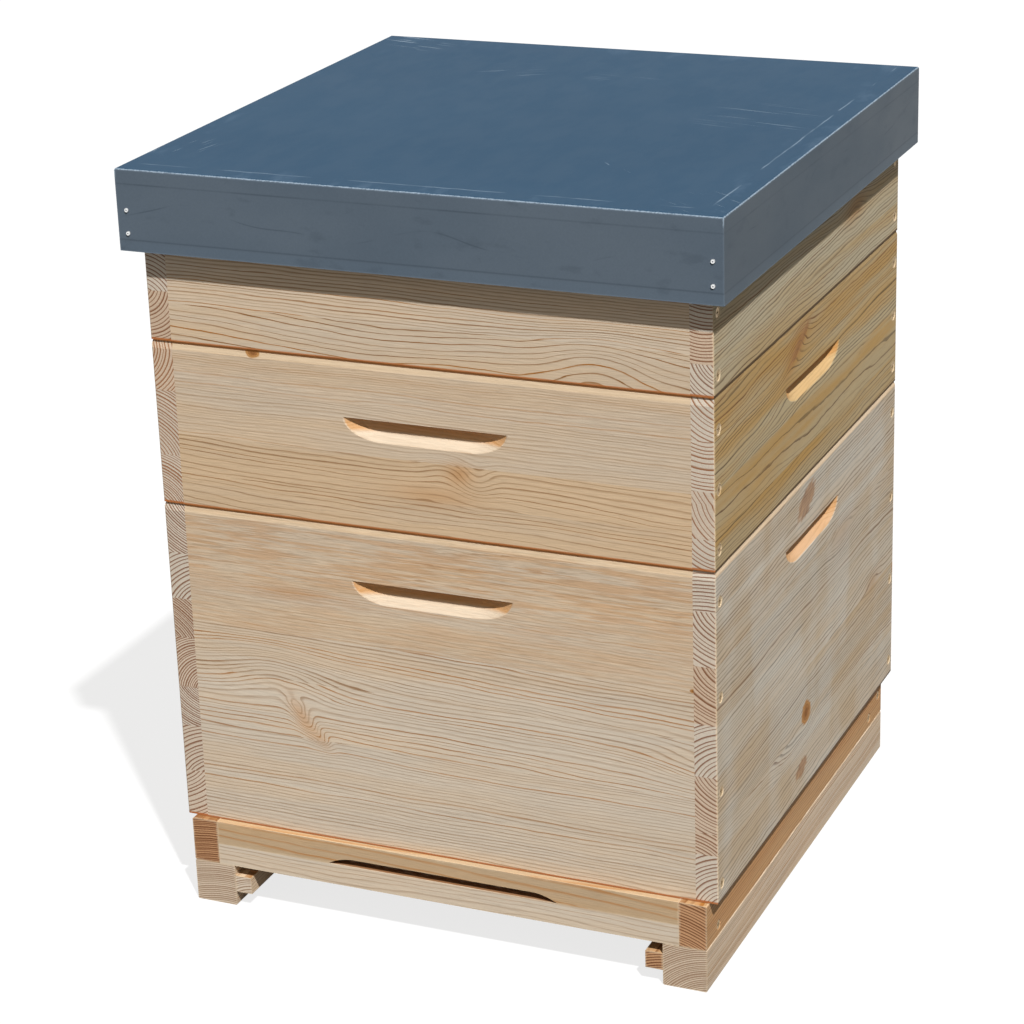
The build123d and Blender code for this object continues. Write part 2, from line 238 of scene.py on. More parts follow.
PINE = Timber(
    early=rgb(212, 198, 179),
    warm=rgb(214, 186, 152),
    late=rgb(138, 95, 50),
    bold=rgb(166, 108, 44),
    end_early=rgb(214, 201, 184),
    end_warm=rgb(209, 184, 159),
    end_late=rgb(127, 79, 47),
    smooth=rgb(216, 198, 174),
    rim=rgb(214, 190, 158),
    stain=rgb(198, 142, 84),
    streak=0.4,
    lines=0.9,
    wave=1.0,
    broad=1.0,
    weather=0.0,
)
GOLDEN_PINE = PINE._replace(
    early=rgb(183, 167, 135),
    warm=rgb(181, 145, 89),
    late=rgb(66, 46, 24),
    bold=rgb(106, 62, 24),
    end_late=rgb(146, 90, 46),
    smooth=rgb(214, 176, 122),
    rim=rgb(156, 128, 86),
    stain=rgb(166, 118, 62),
    streak=0.8,
    lines=0.95,
    wave=1.5,
)
SILVER_PINE = GOLDEN_PINE._replace(
    early=rgb(200, 191, 176),
    warm=rgb(187, 161, 127),
    late=rgb(62, 45, 28),
    bold=rgb(100, 64, 34),
    end_late=PINE.end_late,
    smooth=rgb(214, 164, 114),
    rim=rgb(226, 198, 164),
    streak=0.55,
    weather=0.22,
)
YELLOW_PINE = GOLDEN_PINE._replace(
    early=rgb(186, 174, 148),
    warm=rgb(180, 154, 112),
    late=rgb(80, 58, 34),
    end_late=PINE.end_late,
)
RED_PINE = PINE._replace(
    early=rgb(192, 158, 118),
    warm=rgb(186, 138, 91),
    late=rgb(116, 67, 34),
    end_early=rgb(200, 154, 114),
    end_warm=rgb(190, 142, 102),
    end_late=rgb(104, 58, 32),
)
RUNNER_PINE = PINE._replace(
    end_early=rgb(220, 204, 184),
    end_warm=rgb(214, 188, 158),
    end_late=rgb(154, 122, 96),
)
BAR_PINE = PINE._replace(
    early=rgb(195, 172, 142),
    warm=rgb(195, 158, 115),
    late=rgb(182, 122, 60),
    bold=rgb(170, 100, 38),
    broad=1.9,
)


def strip_values(shader, up, strips):
    """Number of the strip at a height, height from that strip's middle, and the strip's own values."""
    number = 0.0
    from_middle = up - strips[0].height / 2
    values = list(strips[0])
    edge = 0.0
    for below, above in zip(strips, strips[1:]):
        edge += below.height
        past = shader.math("GREATER_THAN", up, edge)
        number = past + number
        from_middle = from_middle - past * ((below.height + above.height) / 2)
        values = [
            value if after == before else shader.math("MULTIPLY_ADD", past, after - before, value)
            for value, before, after in zip(values, below, above)
        ]
    return number, from_middle, Strip(*values)


HAND_HOLD_DROP = 51.0
SCREW_INSET = 10.0
# Colours of painted shade in the seams between boxes: orange and brown where warm light bounces into the
# seam, near black in the gap along the side walls
SEAM_SHADE_ORANGE = rgb(214, 138, 70)
SEAM_SHADE_BROWN = rgb(178, 102, 44)
JOINT_SHADE = rgb(66, 44, 22)
WEATHERED_GREY = rgb(210, 204, 194)
RUBBED_EDGE_AND_HIGHLIGHT = rgb(226, 204, 172)
TORN_WOOD = rgb(222, 200, 166)
HOLLOW_SHADE = rgb(206, 148, 84)
PATCH_BROWN = rgb(134, 92, 58)
PATCH_PALE = rgb(174, 130, 88)
HEART_RIM = rgb(188, 138, 84)
HEART_MIDDLE = rgb(152, 102, 58)

# Steps through the noise that make strips, and pieces, differ from each other
STRIP_STEP = 37.3
PIECE_STEP = 11.7

# The joint of a wall with the boxes above and below it: height of the planed band along its rim, depth of the
# line of painted shade under the rim, height of the line of painted shade along its foot, and the colours of
# both lines
Joint = namedtuple("Joint", "band drop rise rim foot")
FRONT_JOINT = Joint(band=7.5, drop=1.6, rise=0.6, rim=SEAM_SHADE_ORANGE, foot=SEAM_SHADE_BROWN)
SIDE_JOINT = Joint(band=6.0, drop=0.8, rise=1.2, rim=JOINT_SHADE, foot=JOINT_SHADE)


class Board:
    """Where a surface lies in a piece of wood, and noise that is stretched along its grain."""

    def __init__(self, shader, node, grain, strips, seed):
        axis, self.across = (0, 1) if grain == "X" else (1, 0)
        self.shader = shader
        self.low, self.high = box_mm(node)
        self.place = shader.place()
        self.normal = shader.facing()
        self.along = self.place[axis]
        self.depth = self.place[self.across] - (self.low[self.across] + self.high[self.across]) / 2
        self.up = self.place[2] - self.low.z
        self.below_rim = self.high.z - self.place[2]
        self.end = shader.smooth(abs(self.normal[axis]), 0.6, 0.85)
        self.number, self.from_middle, self.strip = strip_values(shader, self.up, strips)
        self.seed = seed
        self.shift = self.number * STRIP_STEP + seed * PIECE_STEP
        self.rough = self.noise(9, 4)

    def noise(self, length, width, detail=2.0, roughness=0.5):
        """Noise with features of a length along the grain and a width across it, its own in each strip."""
        along = self.along / length + self.shift
        vector = self.shader.vector(along, self.depth / width + self.shift, self.up / width)
        return self.shader.noise(vector, detail, roughness)

    def reach(self, mark):
        """Where the surface lies along and up a leaning mark, in its half lengths and half heights."""
        rise = self.up - mark.up
        run = self.along - mark.along - rise * mark.lean
        return run / mark.length, rise / mark.height


def growth_rings(board, timber, knots):
    """Share of late wood, a random share for each ring, and a hill for each knot.

    The rings lie round the log's middle, bent by slow growth, ripples and knots.
    """
    shader, strip, end = board.shader, board.strip, board.end
    inward = board.depth - strip.pith_in
    upward = board.from_middle - strip.pith_up
    radius = shader.math("SQRT", inward * inward + upward * upward)
    slant = shader.math("MAXIMUM", shader.math("MAXIMUM", abs(upward) / radius, end), 0.2)
    waves = board.noise(380, 85) * 16.0 + board.noise(110, 22) * 5.0 + board.noise(34, 8) * 1.6
    ripples = board.noise(30, 5) * strip.fuzz * 6.0
    lift = board.along * strip.slope + waves * (timber.wave - end * (timber.wave * 0.85)) + ripples
    hills = []
    for knot in knots:
        run, rise = board.reach(knot)
        hill = shader.math("EXPONENT", -(run * run + rise * rise))
        lift = lift + hill * (rise * knot.part + knot.lift)
        hills.append(hill)
    outward = shader.math("MAXIMUM", shader.math("MINIMUM", upward / 8.0, 1.0), -1.0)
    radius = radius - lift * outward
    turns = radius / strip.spacing + shader.noise_along(radius / 16 + board.shift) * 1.5
    ring = shader.math("FLOOR", turns)
    chance = shader.pick(ring + board.shift)
    width = (shader.pick(ring + board.shift + 0.5) * 0.6 + 0.7) * timber.broad
    behind = (1.0 - turns + ring) * strip.spacing / slant
    line = shader.smooth(behind / width, 0.5, 1.6, 1.0, 0.0) * shader.smooth(behind, 0.0, 0.12)
    fading = shader.smooth(board.noise(200, 4), -0.12, 0.12, 0.7, 1.0)
    breaks = shader.smooth(board.noise(60, 2.5), -0.1, 0.1, 0.7, 0.0) * strip.fuzz
    shown = (chance * 0.6 + 0.4) * fading * (1.0 - breaks) * strip.line
    return line * shader.math("MAXIMUM", shown, end * 0.9), chance, hills


def face_colour(board, timber, late, chance, drift, knots, hills):
    """Early and late wood with warm streaks along the board, stains round knots and a weathered haze."""
    shader, strip = board.shader, board.strip
    streak = shader.smooth(board.noise(420, 18) + drift * 0.6, -0.18, 0.18, -0.5, 0.5)
    early = shader.mix(streak * timber.streak + strip.warm, timber.early, timber.warm)
    felted = shader.smooth(board.noise(50, 2.6), -0.1, 0.1, 0.0, 0.4) * strip.fuzz
    early = shader.mix(felted, early, timber.stain)
    for knot, hill in zip(knots, hills):
        if knot.stain:
            early = shader.mix(hill * knot.stain, early, timber.stain)
    bold = shader.mix(shader.smooth(chance, 0.75, 0.95), timber.late, timber.bold)
    colour = shader.mix(late * timber.lines, early, bold)
    if timber.weather:
        smudge = shader.noise(shader.vector(board.along / 70, board.depth / 60, board.up / 190))
        washed = shader.mix(shader.smooth(smudge, -0.1, 0.1), WEATHERED_GREY, timber.warm)
        colour = shader.mix(timber.weather, colour, washed)
    return colour


def add_patches(board, colour, patches):
    """Brown patches of leaning grain, streaked along their length."""
    shader = board.shader
    for patch in patches:
        run, rise = board.reach(patch)
        away = shader.math("SQRT", run * run + rise * rise) + board.rough * 0.8
        flame = shader.noise(shader.vector(run * 4.0, rise, board.seed))
        brown = shader.mix(shader.smooth(flame, -0.15, 0.15), PATCH_BROWN, PATCH_PALE)
        colour = shader.mix(shader.smooth(away, 0.7, 1.1, 0.7, 0.0), colour, brown)
    return colour


def add_end_grain(board, colour, timber, late):
    """Rings on the ends of the strips; some strips are warmer than others."""
    shader = board.shader
    warmth = shader.smooth(shader.pick(board.number + board.seed * 0.37 + 0.2), 0.2, 0.9)
    ground = shader.mix(warmth, timber.end_early, timber.end_warm)
    return shader.mix(board.end, colour, shader.mix(late, ground, timber.end_late))


def add_cuts(board, colour, timber, joint, box_high):
    """Smooth faces of a box wall: the planed band along its rim, and the hand-hold, painted a warm shade in
    its upper part where the ledge's shadow falls.
    """
    shader = board.shader
    face = 1.0 - board.end
    planed = shader.smooth(board.below_rim, joint.band - 0.7, joint.band + 0.1, 0.7, 0.0) * face
    colour = shader.mix(planed, colour, timber.rim)
    sunk = box_high[board.across] - abs(board.place[board.across])
    in_cut = shader.smooth(sunk, 0.2, 0.8) * shader.smooth(sunk, 10.5, 11.0, 1.0, 0.0)
    clear_of_rim = shader.smooth(board.below_rim, 40.0, 44.0)
    clear_of_foot = shader.smooth(board.up, 6.0, 10.0)
    hold = in_cut * face * clear_of_rim * clear_of_foot
    under_ledge = board.below_rim - HAND_HOLD_DROP
    # Painted shade: warm brown in the upper part of the hand-hold, where the ledge casts its shadow; smooth
    # wood colour on the floor below
    hollow = shader.mix(shader.smooth(under_ledge, 9.0, 13.0), HOLLOW_SHADE, timber.smooth)
    return shader.mix(hold * 0.7, colour, hollow)


def add_stain_or_shade(board, colour, level, start, stain):
    """A strip along the front of a base piece's top, with a ragged inner edge: a stain where a box stands,
    painted shade inside the entrance.
    """
    shader = board.shader
    inside = board.place[1] - start
    ragged = inside + board.rough * 20.0
    stained = shader.smooth(inside, 0.0, 0.8) * shader.smooth(ragged, 6.0, 16.0, 1.0, 0.0)
    on_top = shader.smooth(board.place[2], level - 0.6, level - 0.2, 0.0, 0.9)
    return shader.mix(stained * on_top, colour, stain)


def add_hearts(board, colour, knots, hills):
    """The brown hearts of the knots that were cut through, with fine rings."""
    shader = board.shader
    for knot, hill in zip(knots, hills):
        if knot.core:
            ragged = hill + board.rough * 0.3
            whorl = shader.math("SINE", hill * 50.0) * 0.12 + 0.88
            inner = shader.smooth(ragged, knot.core + 0.1, 0.98)
            heart = shader.mix(inner, HEART_RIM, HEART_MIDDLE)
            seen = shader.smooth(ragged, knot.core - 0.05, knot.core + 0.1)
            colour = shader.mix(seen, colour, shader.scale(heart, whorl))
    return colour


def add_seam_shade(board, colour, joint):
    """Painted shade where one box stands on the next, under the rim and along the foot of a wall."""
    shader = board.shader
    upright = shader.smooth(abs(board.normal[2]), 0.6, 0.9, 1.0, 0.0)
    # Painted shade in the seams: a line under the rim and one along the foot, orange on end grain
    rim_shade = shader.smooth(board.below_rim, joint.drop, joint.drop + 1.2, 0.85, 0.0) * upright
    foot_shade = shader.smooth(board.up, joint.rise, joint.rise + 1.2, 0.9, 0.0) * upright
    colour = shader.mix(rim_shade, colour, shader.mix(board.end, joint.rim, SEAM_SHADE_ORANGE))
    return shader.mix(foot_shade, colour, shader.mix(board.end, joint.foot, SEAM_SHADE_BROWN))


def add_torn_wood(board, colour, first, step):
    """Pale torn wood round the screw heads near both ends of a side wall."""
    shader = board.shader
    level = shader.math("WRAP", board.up - first, step / 2, -step / 2)
    beside = board.high.y - SCREW_INSET - abs(board.along)
    away = shader.math("SQRT", level * level + beside * beside) + board.rough * 5.0
    return shader.mix(shader.smooth(away, 4.6, 6.0, 0.8, 0.0), colour, TORN_WOOD)


def wood(
    node,
    grain,
    strips,
    timber=PINE,
    knots=(),
    patches=(),
    seed=0,
    around=None,
    screws=None,
    stain_or_shade_from=None,
):
    """Pine with growth rings in three dimensions, so faces show lines and figures and ends show arcs.

    around holds the corners of the whole box for one of its walls, which has a planed rim and a hand-hold.
    screws is (height of the first screw, distance between screws) for a wall with screw holes.
    stain_or_shade_from is (level of the top, front of the strip, colour) for a base piece stained by the bees
    where a box stands, or painted a warm shade inside the entrance.
    """
    shader = Shader(node)
    board = Board(shader, node, grain, strips, seed)
    joint = FRONT_JOINT if grain == "X" else SIDE_JOINT
    fibre = board.noise(20, 1.2, 3.0, 0.6)
    drift = board.noise(170, 34)
    ticks = shader.smooth(board.noise(13, 1.2), 0.12, 0.2)
    light = fibre * (board.strip.fuzz * 0.3 + 0.3) + drift * 0.2 - ticks * 0.08 + board.strip.light
    late, chance, hills = growth_rings(board, timber, knots)
    colour = face_colour(board, timber, late, chance, drift, knots, hills)
    colour = add_patches(board, colour, patches)
    colour = add_end_grain(board, colour, timber, late)
    if around:
        colour = add_cuts(board, colour, timber, joint, around[1])
    # A stain where the brood box stands, or painted shade inside the entrance
    if stain_or_shade_from:
        colour = add_stain_or_shade(board, colour, *stain_or_shade_from)
    colour = add_hearts(board, colour, knots, hills)
    colour = shader.scale(colour, light + 1.0)
    # Paler edges: partly rubbed wear, partly a painted highlight along the edges
    edge = edge_distance(shader, board.place, *(around or (board.low, board.high))) + board.rough * 3.0
    colour = shader.mix(shader.smooth(edge, 0.3, 1.8, 0.35, 0.0), colour, RUBBED_EDGE_AND_HIGHLIGHT)
    if around:
        # Painted shade in the seams where this wall meets the boxes above and below
        colour = add_seam_shade(board, colour, joint)
    if screws:
        colour = add_torn_wood(board, colour, *screws)
    roughness = 0.68 - late * 0.10 + fibre * 0.3
    return shader.finish(colour, roughness, shader.bump(fibre, 0.0004, 0.6), specular=0.08)


# Boxes

USUAL_STRIP = 44.0
USUAL_WARMTH = 0.4


def strips_by_chance(seed, height):
    """Strips of a panel the photograph doesn't show."""
    dice = random.Random(seed)
    count = max(1, round(height / USUAL_STRIP))
    cuts = [dice.uniform(0.8, 1.2) for _ in range(count)]
    return [
        Strip(
            height=height * cut / sum(cuts),
            spacing=dice.uniform(2.0, 3.6),
            pith_up=dice.choice((-1, 1)) * dice.uniform(20, 60),
            pith_in=dice.choice((-1, 1)) * dice.uniform(18, 40),
            slope=dice.uniform(-0.02, 0.02),
            light=dice.uniform(-0.04, 0.04),
            warm=USUAL_WARMTH + dice.uniform(-0.2, 0.2),
        )
        for cut in cuts
    ]


FRONT_STRIPS = {
    "upper_super": [
        Strip(34, 4.2, -40, 26, -0.030, -0.02, 0.55, 1.4),
        Strip(50, 2.6, -80, 40, -0.010, 0.03, 0.35, 1.0),
        Strip(64, 2.4, -110, 40, -0.006, 0.02, 0.40, 0.9),
    ],
    "lower_super": [
        Strip(30, 3.2, -40, 36, -0.020, -0.03, 1.00),
        Strip(35, 3.6, -44, 30, -0.020, -0.02, 0.95),
        Strip(43, 2.5, -90, 30, -0.004, 0.01, 0.50, 0.6),
        Strip(40, 2.4, -110, 34, 0.000, 0.00, 0.45, 0.6, 0.2),
    ],
    "brood": [
        Strip(44, 2.9, -80, 36, -0.010, 0.02, 0.15, 0.9),
        Strip(50, 2.8, -96, 38, -0.012, 0.02, 0.15, 0.9),
        Strip(54, 3.2, -70, 34, -0.015, 0.03, 0.10),
        Strip(44, 3.2, -84, 32, -0.020, 0.01, 0.25),
        Strip(50, 2.8, -120, 36, -0.010, -0.01, 0.45, 0.6, 0.5),
        Strip(60, 2.6, -140, 40, -0.006, -0.02, 0.60, 0.5, 1.0),
    ],
}
FRONT_KNOTS = {
    "upper_super": [
        Knot(155, 14, 45, 30, 12.0, 0.0),
        Knot(-60, 20, 90, 30, -5.0, 0.0),
    ],
    "lower_super": [
        Knot(-157, 145, 10, 7, 0.0, 3.0, core=0.6),
        Knot(14, 60, 22, 14, 6.0, 0.0),
        Knot(46, 54, 15, 16, -8.0, 0.0),
        Knot(30, 58, 12, 10, 0.0, 0.0, stain=0.6),
        Knot(5, 36, 38, 9, 3.0, 0.0, stain=0.4),
    ],
    "brood": [
        Knot(-152, 150, 52, 26, 13.0, 4.0, lean=-0.4),
        Knot(-131, 114, 9, 18, -12.0, 0.0, lean=-0.5, stain=0.5),
        Knot(-113, 95, 7, 10, -7.0, 0.0, lean=-0.6, stain=0.3),
        Knot(234, 194, 7, 3.5, 0.0, 2.0, core=0.75),
        Knot(250, 130, 45, 24, -10.0, 4.0),
        Knot(-135, 232, 45, 5, 0.0, 0.0, stain=0.45),
    ],
}
SIDE_STRIPS = {
    "upper_super": [
        Strip(27, 3.2, 24, 22, 0.02, 0.00, 0.45),
        Strip(27, 3.0, 40, 0, 0.03, 0.02, 0.35),
        Strip(40, 2.8, 44, 6, -0.02, 0.00, 0.40),
        Strip(54, 3.0, -44, 20, 0.02, 0.00, 0.35),
    ],
    "lower_super": [
        Strip(27, 4.2, 30, 14, 0.02, -0.04, 0.70),
        Strip(41, 4.8, 18, 36, -0.02, -0.02, 0.60),
        Strip(43, 3.8, 48, 2, 0.03, 0.01, 0.45),
        Strip(37, 3.8, 34, 22, 0.02, -0.02, 0.55),
    ],
    "brood": [
        Strip(45, 3.6, -34, 20, 0.02, 0.00, 0.35),
        Strip(20, 3.0, -46, -20, -0.03, 0.02, 0.30),
        Strip(52, 3.3, 40, 22, 0.02, -0.02, 0.45),
        Strip(48, 3.8, -38, 24, 0.03, 0.01, 0.30),
        Strip(52, 3.3, 42, 26, -0.02, -0.01, 0.40),
        Strip(49, 3.8, 36, 24, 0.03, 0.01, 0.30),
        Strip(36, 3.3, -160, 8, 0.02, 0.00, 0.30),
    ],
}
SIDE_KNOTS = {
    "upper_super": [Knot(120, 58, 30, 14, 5.0, 4.0, lean=0.6, stain=0.6)],
    "lower_super": [
        Knot(-45, 126, 24, 20, 9.0, 0.0, lean=1.2, stain=0.8),
        Knot(-78, 85, 40, 12, 4.0, 8.0, lean=0.5),
    ],
    "brood": [
        Knot(-17, 74, 19, 17, 0.0, 10.0, core=0.62),
        Knot(88, 208, 36, 15, 0.0, 11.0, lean=0.3, stain=0.4),
        Knot(-62, 60, 44, 14, -9.0, 6.0, lean=0.4),
        Knot(186, 122, 26, 10, 3.0, 5.0, lean=0.3, stain=0.5),
        Knot(254, 110, 4, 9, 0.0, 0.0, core=0.45),
    ],
}
SIDE_PATCHES = {
    "lower_super": [Patch(-38, 127, 13, 15, 1.8)],
    "brood": [Patch(-18, 278, 22, 16, 0.9), Patch(-31, 24, 17, 9, 0.6)],
}
SIDE_TIMBER = {"upper_super": YELLOW_PINE, "lower_super": GOLDEN_PINE, "brood": SILVER_PINE}
FIRST_SCREW = 16.0
SCREW_STEP = {"upper_super": 51.5, "lower_super": 51.5, "brood": 257.0 / 3}


def dress_box(box, seed):
    """Each panel is glued up from its own strips; the ones in the photograph follow it."""
    sides = ("front", "back", "left", "right")
    corners = [box_mm(f"{box}_{side}_panel") for side in sides]
    low = Vector([min(corner[0][axis] for corner in corners) for axis in range(3)])
    high = Vector([max(corner[1][axis] for corner in corners) for axis in range(3)])
    for number, side in enumerate(sides):
        node = f"{box}_{side}_panel"
        shared = {"seed": seed + number, "around": (low, high)}
        strips = strips_by_chance(node, high.z - low.z)
        if side == "front":
            paint = wood(node, "X", FRONT_STRIPS[box], knots=FRONT_KNOTS[box], **shared)
        elif side == "back":
            paint = wood(node, "X", strips, **shared)
        else:
            shared.update(timber=SIDE_TIMBER[box], screws=(FIRST_SCREW, SCREW_STEP[box]))
            if side == "right":
                shared.update(knots=SIDE_KNOTS[box], patches=SIDE_PATCHES.get(box, ()))
                strips = SIDE_STRIPS[box]
            paint = wood(node, "Y", strips, **shared)
        dress(node, paint)


# Base

BASE_BEAMS = {
    "left_runner": ("Y", RUNNER_PINE, Strip(40, 2.0, -110, 12, 0.010, -0.02, 0.5)),
    "right_runner": ("Y", RUNNER_PINE, Strip(40, 1.9, -60, 30, 0.012, 0.0, 0.3)),
    "left_side_rail": ("Y", RED_PINE, Strip(42, 2.0, -160, 20, 0.014, -0.02, 0.6)),
    "right_side_rail": ("Y", RED_PINE, Strip(42, 2.6, -90, -30, 0.012, 0.0, 0.6)),
    "left_mesh_batten": ("Y", PINE, Strip(20, 3.6, -40, 20, 0.010, 0.0, 0.5)),
    "right_mesh_batten": ("Y", PINE, Strip(20, 3.6, -40, 20, 0.012, 0.0, 0.5)),
    "left_tray_cleat": ("Y", RUNNER_PINE, Strip(16, 2.4, -50, 16, 0.010, 0.0, 0.8)),
    "right_tray_cleat": ("Y", RED_PINE, Strip(16, 2.4, -54, 14, 0.012, 0.0, 0.4)),
    "sill_board": ("X", PINE, Strip(20, 3.2, -60, 30, 0.004, 0.03, 0.15, 0.6)),
    "entrance_bar": ("X", BAR_PINE, Strip(22, 6.5, -34, 22, -0.030, 0.0, 0.4)),
    "back_bar": ("X", PINE, Strip(42, 4.0, -40, 30, 0.010, 0.0, 0.5)),
    "rear_floor_bar": ("X", PINE, Strip(20, 4.0, -40, 30, 0.010, 0.0, 0.5)),
}
FIRST_BASE_SEED = 20
# Painted warm shade on the sill just inside the entrance, where the slot lies in shadow
ENTRANCE_SHADE = rgb(132, 86, 46)
BOX_STAIN = rgb(124, 80, 44)
STAIN_PAST_BOX = 1.6
STAIN_BEHIND_EDGE = 0.3


def dress_base():
    """Bare beams; tops are stained where the brood box stands, and painted a warm shade just inside the
    entrance.
    """
    sill_low, sill_high = box_mm("sill_board")
    box_low = box_mm("brood_left_panel")[0]
    stains = {"sill_board": (sill_high.z, sill_low.y + STAIN_BEHIND_EDGE, ENTRANCE_SHADE)}
    for node in ("entrance_bar", "left_side_rail", "right_side_rail"):
        stains[node] = (box_low.z, box_low.y - STAIN_PAST_BOX, BOX_STAIN)
    for seed, (node, (grain, timber, strip)) in enumerate(BASE_BEAMS.items(), FIRST_BASE_SEED):
        dress(node, wood(node, grain, [strip], timber, seed=seed, stain_or_shade_from=stains.get(node)))


# Metal, board and frames

def galvanised():
    """Zinc-coated wire: spangled grey with dull patches."""
    shader = Shader("galvanised")
    x, y, z = shader.place()
    flake = shader.cells(shader.vector(x / 5, y / 5, z / 5))
    cloud = shader.noise(shader.vector(x / 40, y / 40, z / 40))
    colour = shader.mix(flake, rgb(168, 172, 174), rgb(206, 209, 210))
    colour = shader.scale(colour, cloud * 0.3 + 0.95)
    return shader.finish(colour, cloud * 0.2 + 0.42, metallic=0.9)


def zinc_screw(node):
    """Dull zinc with fine turning marks, painted dark as shade in the cross and along the shank."""
    shader = Shader(f"{node}_zinc")
    head = box_mm(node)[1].x
    x, y, z = shader.place()
    grime = shader.noise(shader.vector(x / 1.2, y / 1.2, z / 1.2))
    turning = shader.noise(shader.vector(x / 0.3, y / 2.5, z / 2.5))
    # Painted shade: all but the top face of the head is dark brown
    unshaded_top = shader.smooth(abs(x), head - 1.1, head - 0.2)
    colour = shader.mix(unshaded_top, rgb(52, 38, 26), rgb(166, 140, 100))
    colour = shader.scale(colour, grime * 0.5 + 1.0)
    return shader.finish(colour, turning * 0.25 + 0.45, shader.bump(turning, 0.0001), metallic=0.6)


def rivet_metal():
    """Plain aluminium, painted darker as shade in the hollow of the head and below its top."""
    shader = Shader("rivet_metal")
    head = box_mm("roof_rivets")[1].y
    x, y, z = shader.place()
    dull = shader.noise(shader.vector(x / 0.8, y / 0.8, z / 0.8))
    # Painted shade: darker grey below the top face of the head
    unshaded_top = shader.smooth(abs(y), head - 0.65, head - 0.2)
    colour = shader.mix(unshaded_top, rgb(150, 152, 154), rgb(240, 241, 241))
    colour = shader.scale(colour, dull * 0.2 + 1.0)
    return shader.finish(colour, dull * 0.2 + 0.36, metallic=0.7)


def hardboard(node):
    """Pressed brown board: short fibres, darker flecks and rubbed edges."""
    shader = Shader(f"{node}_board")
    low, high = box_mm(node)
    x, y, z = shader.place()
    cloud = shader.noise(shader.vector(x / 45, y / 45, z / 45), 3.0)
    lint = shader.noise(shader.vector(x / 2.5, y / 0.9, z / 0.9), 3.0, 0.65)
    fleck = shader.smooth(shader.noise(shader.vector(x / 3, y / 3, z / 3)), 0.18, 0.26)
    colour = shader.mix(lint + 0.5, rgb(128, 94, 62), rgb(166, 128, 90))
    colour = shader.mix(fleck * 0.6, colour, rgb(92, 64, 42))
    colour = shader.scale(colour, cloud * 0.25 + 1.0)
    edge = edge_distance(shader, (x, y, z), low, high) + lint * 1.5
    colour = shader.mix(shader.smooth(edge, 0.3, 1.6, 0.5, 0.0), colour, rgb(190, 156, 118))
    return shader.finish(colour, lint * 0.2 + 0.6, shader.bump(lint, 0.0002))


# Sizes of a frame's bars and wax sheet; the slack keeps a bar's faces on its own side of a limit
FRAME_PITCH = 38.0
END_BAR_INSIDE = 216.0
LUG_DEPTH = 10.0
TOP_BAR_DEPTH = 20.0
BOTTOM_BAR_HEIGHT = 9.0
WAX_HALF_THICKNESS = 1.1
WAX_CELL = 5.4
WIRE_PITCH = 54.0
SLACK = 0.05


def frame_wood(name, top, bottom):
    """Thin bars round a sheet of pressed wax with wires in it, for the frames of one box."""
    shader = Shader(name)
    x, y, z = shader.place()
    across = shader.math("WRAP", x, FRAME_PITCH, 0.0) - FRAME_PITCH / 2
    number = shader.math("FLOOR", x / FRAME_PITCH)
    past_ends = shader.math("GREATER_THAN", abs(y), END_BAR_INSIDE - 2 * SLACK)
    upright = past_ends * shader.math("LESS_THAN", z, top - LUG_DEPTH - SLACK)
    shift = number * 5.3

    def bars(along, width, depth):
        lines = shader.noise(shader.vector(along / 300 + shift, width / 5, depth / 5), 2.0)
        late = shader.smooth(shader.math("FRACT", lines * 6 + width / 4), 0.5, 0.95)
        fibre = shader.noise(shader.vector(along / 24, width / 0.6, depth / 0.6), 3.0)
        colour = shader.mix(late * 0.6, rgb(216, 192, 154), rgb(178, 138, 92))
        return shader.scale(colour, fibre * 0.14 + 1.0)

    wood_colour = shader.mix(upright, bars(y, across, z), bars(z, across, y))
    between_ends = shader.math("LESS_THAN", abs(y), END_BAR_INSIDE + SLACK)
    under_top = shader.math("LESS_THAN", z, top - TOP_BAR_DEPTH + SLACK)
    over_bottom = shader.math("GREATER_THAN", z, bottom + BOTTOM_BAR_HEIGHT - SLACK)
    in_sheet = shader.math("LESS_THAN", abs(across), WAX_HALF_THICKNESS)
    inside = between_ends * in_sheet * under_top * over_bottom

    # Wax: the walls of six-sided cells, slow patches and wires along the sheet
    pitch = WAX_CELL * math.sqrt(3) / 2
    waves = 0.0
    for angle in (0, 60, 120):
        turn = math.radians(angle)
        walk = y * math.cos(turn) + z * math.sin(turn)
        waves = shader.math("COSINE", walk * (2 * math.pi / pitch)) + waves
    cell = shader.smooth(waves, -1.4, 0.2)
    patch = shader.noise(shader.vector(y / 60 + shift, z / 60, shift), 3.0)
    wax = shader.mix(cell, rgb(214, 164, 72), rgb(196, 140, 52))
    wax = shader.mix(shader.smooth(patch, -0.1, 0.25), wax, rgb(188, 130, 58))
    from_wire = shader.math("WRAP", z - bottom, WIRE_PITCH / 2, -WIRE_PITCH / 2)
    wire = shader.smooth(abs(from_wire), 0.25, 0.5, 1.0, 0.0)
    wax = shader.mix(wire, wax, rgb(150, 146, 136))
    colour = shader.mix(inside, wood_colour, wax)
    height = shader.mix(inside, shader.noise(shader.vector(y / 8, across, z)), cell)
    roughness = shader.smooth(inside, 0.0, 1.0, 0.62, 0.46)
    return shader.finish(colour, roughness, shader.bump(height, 0.0003, 0.6))


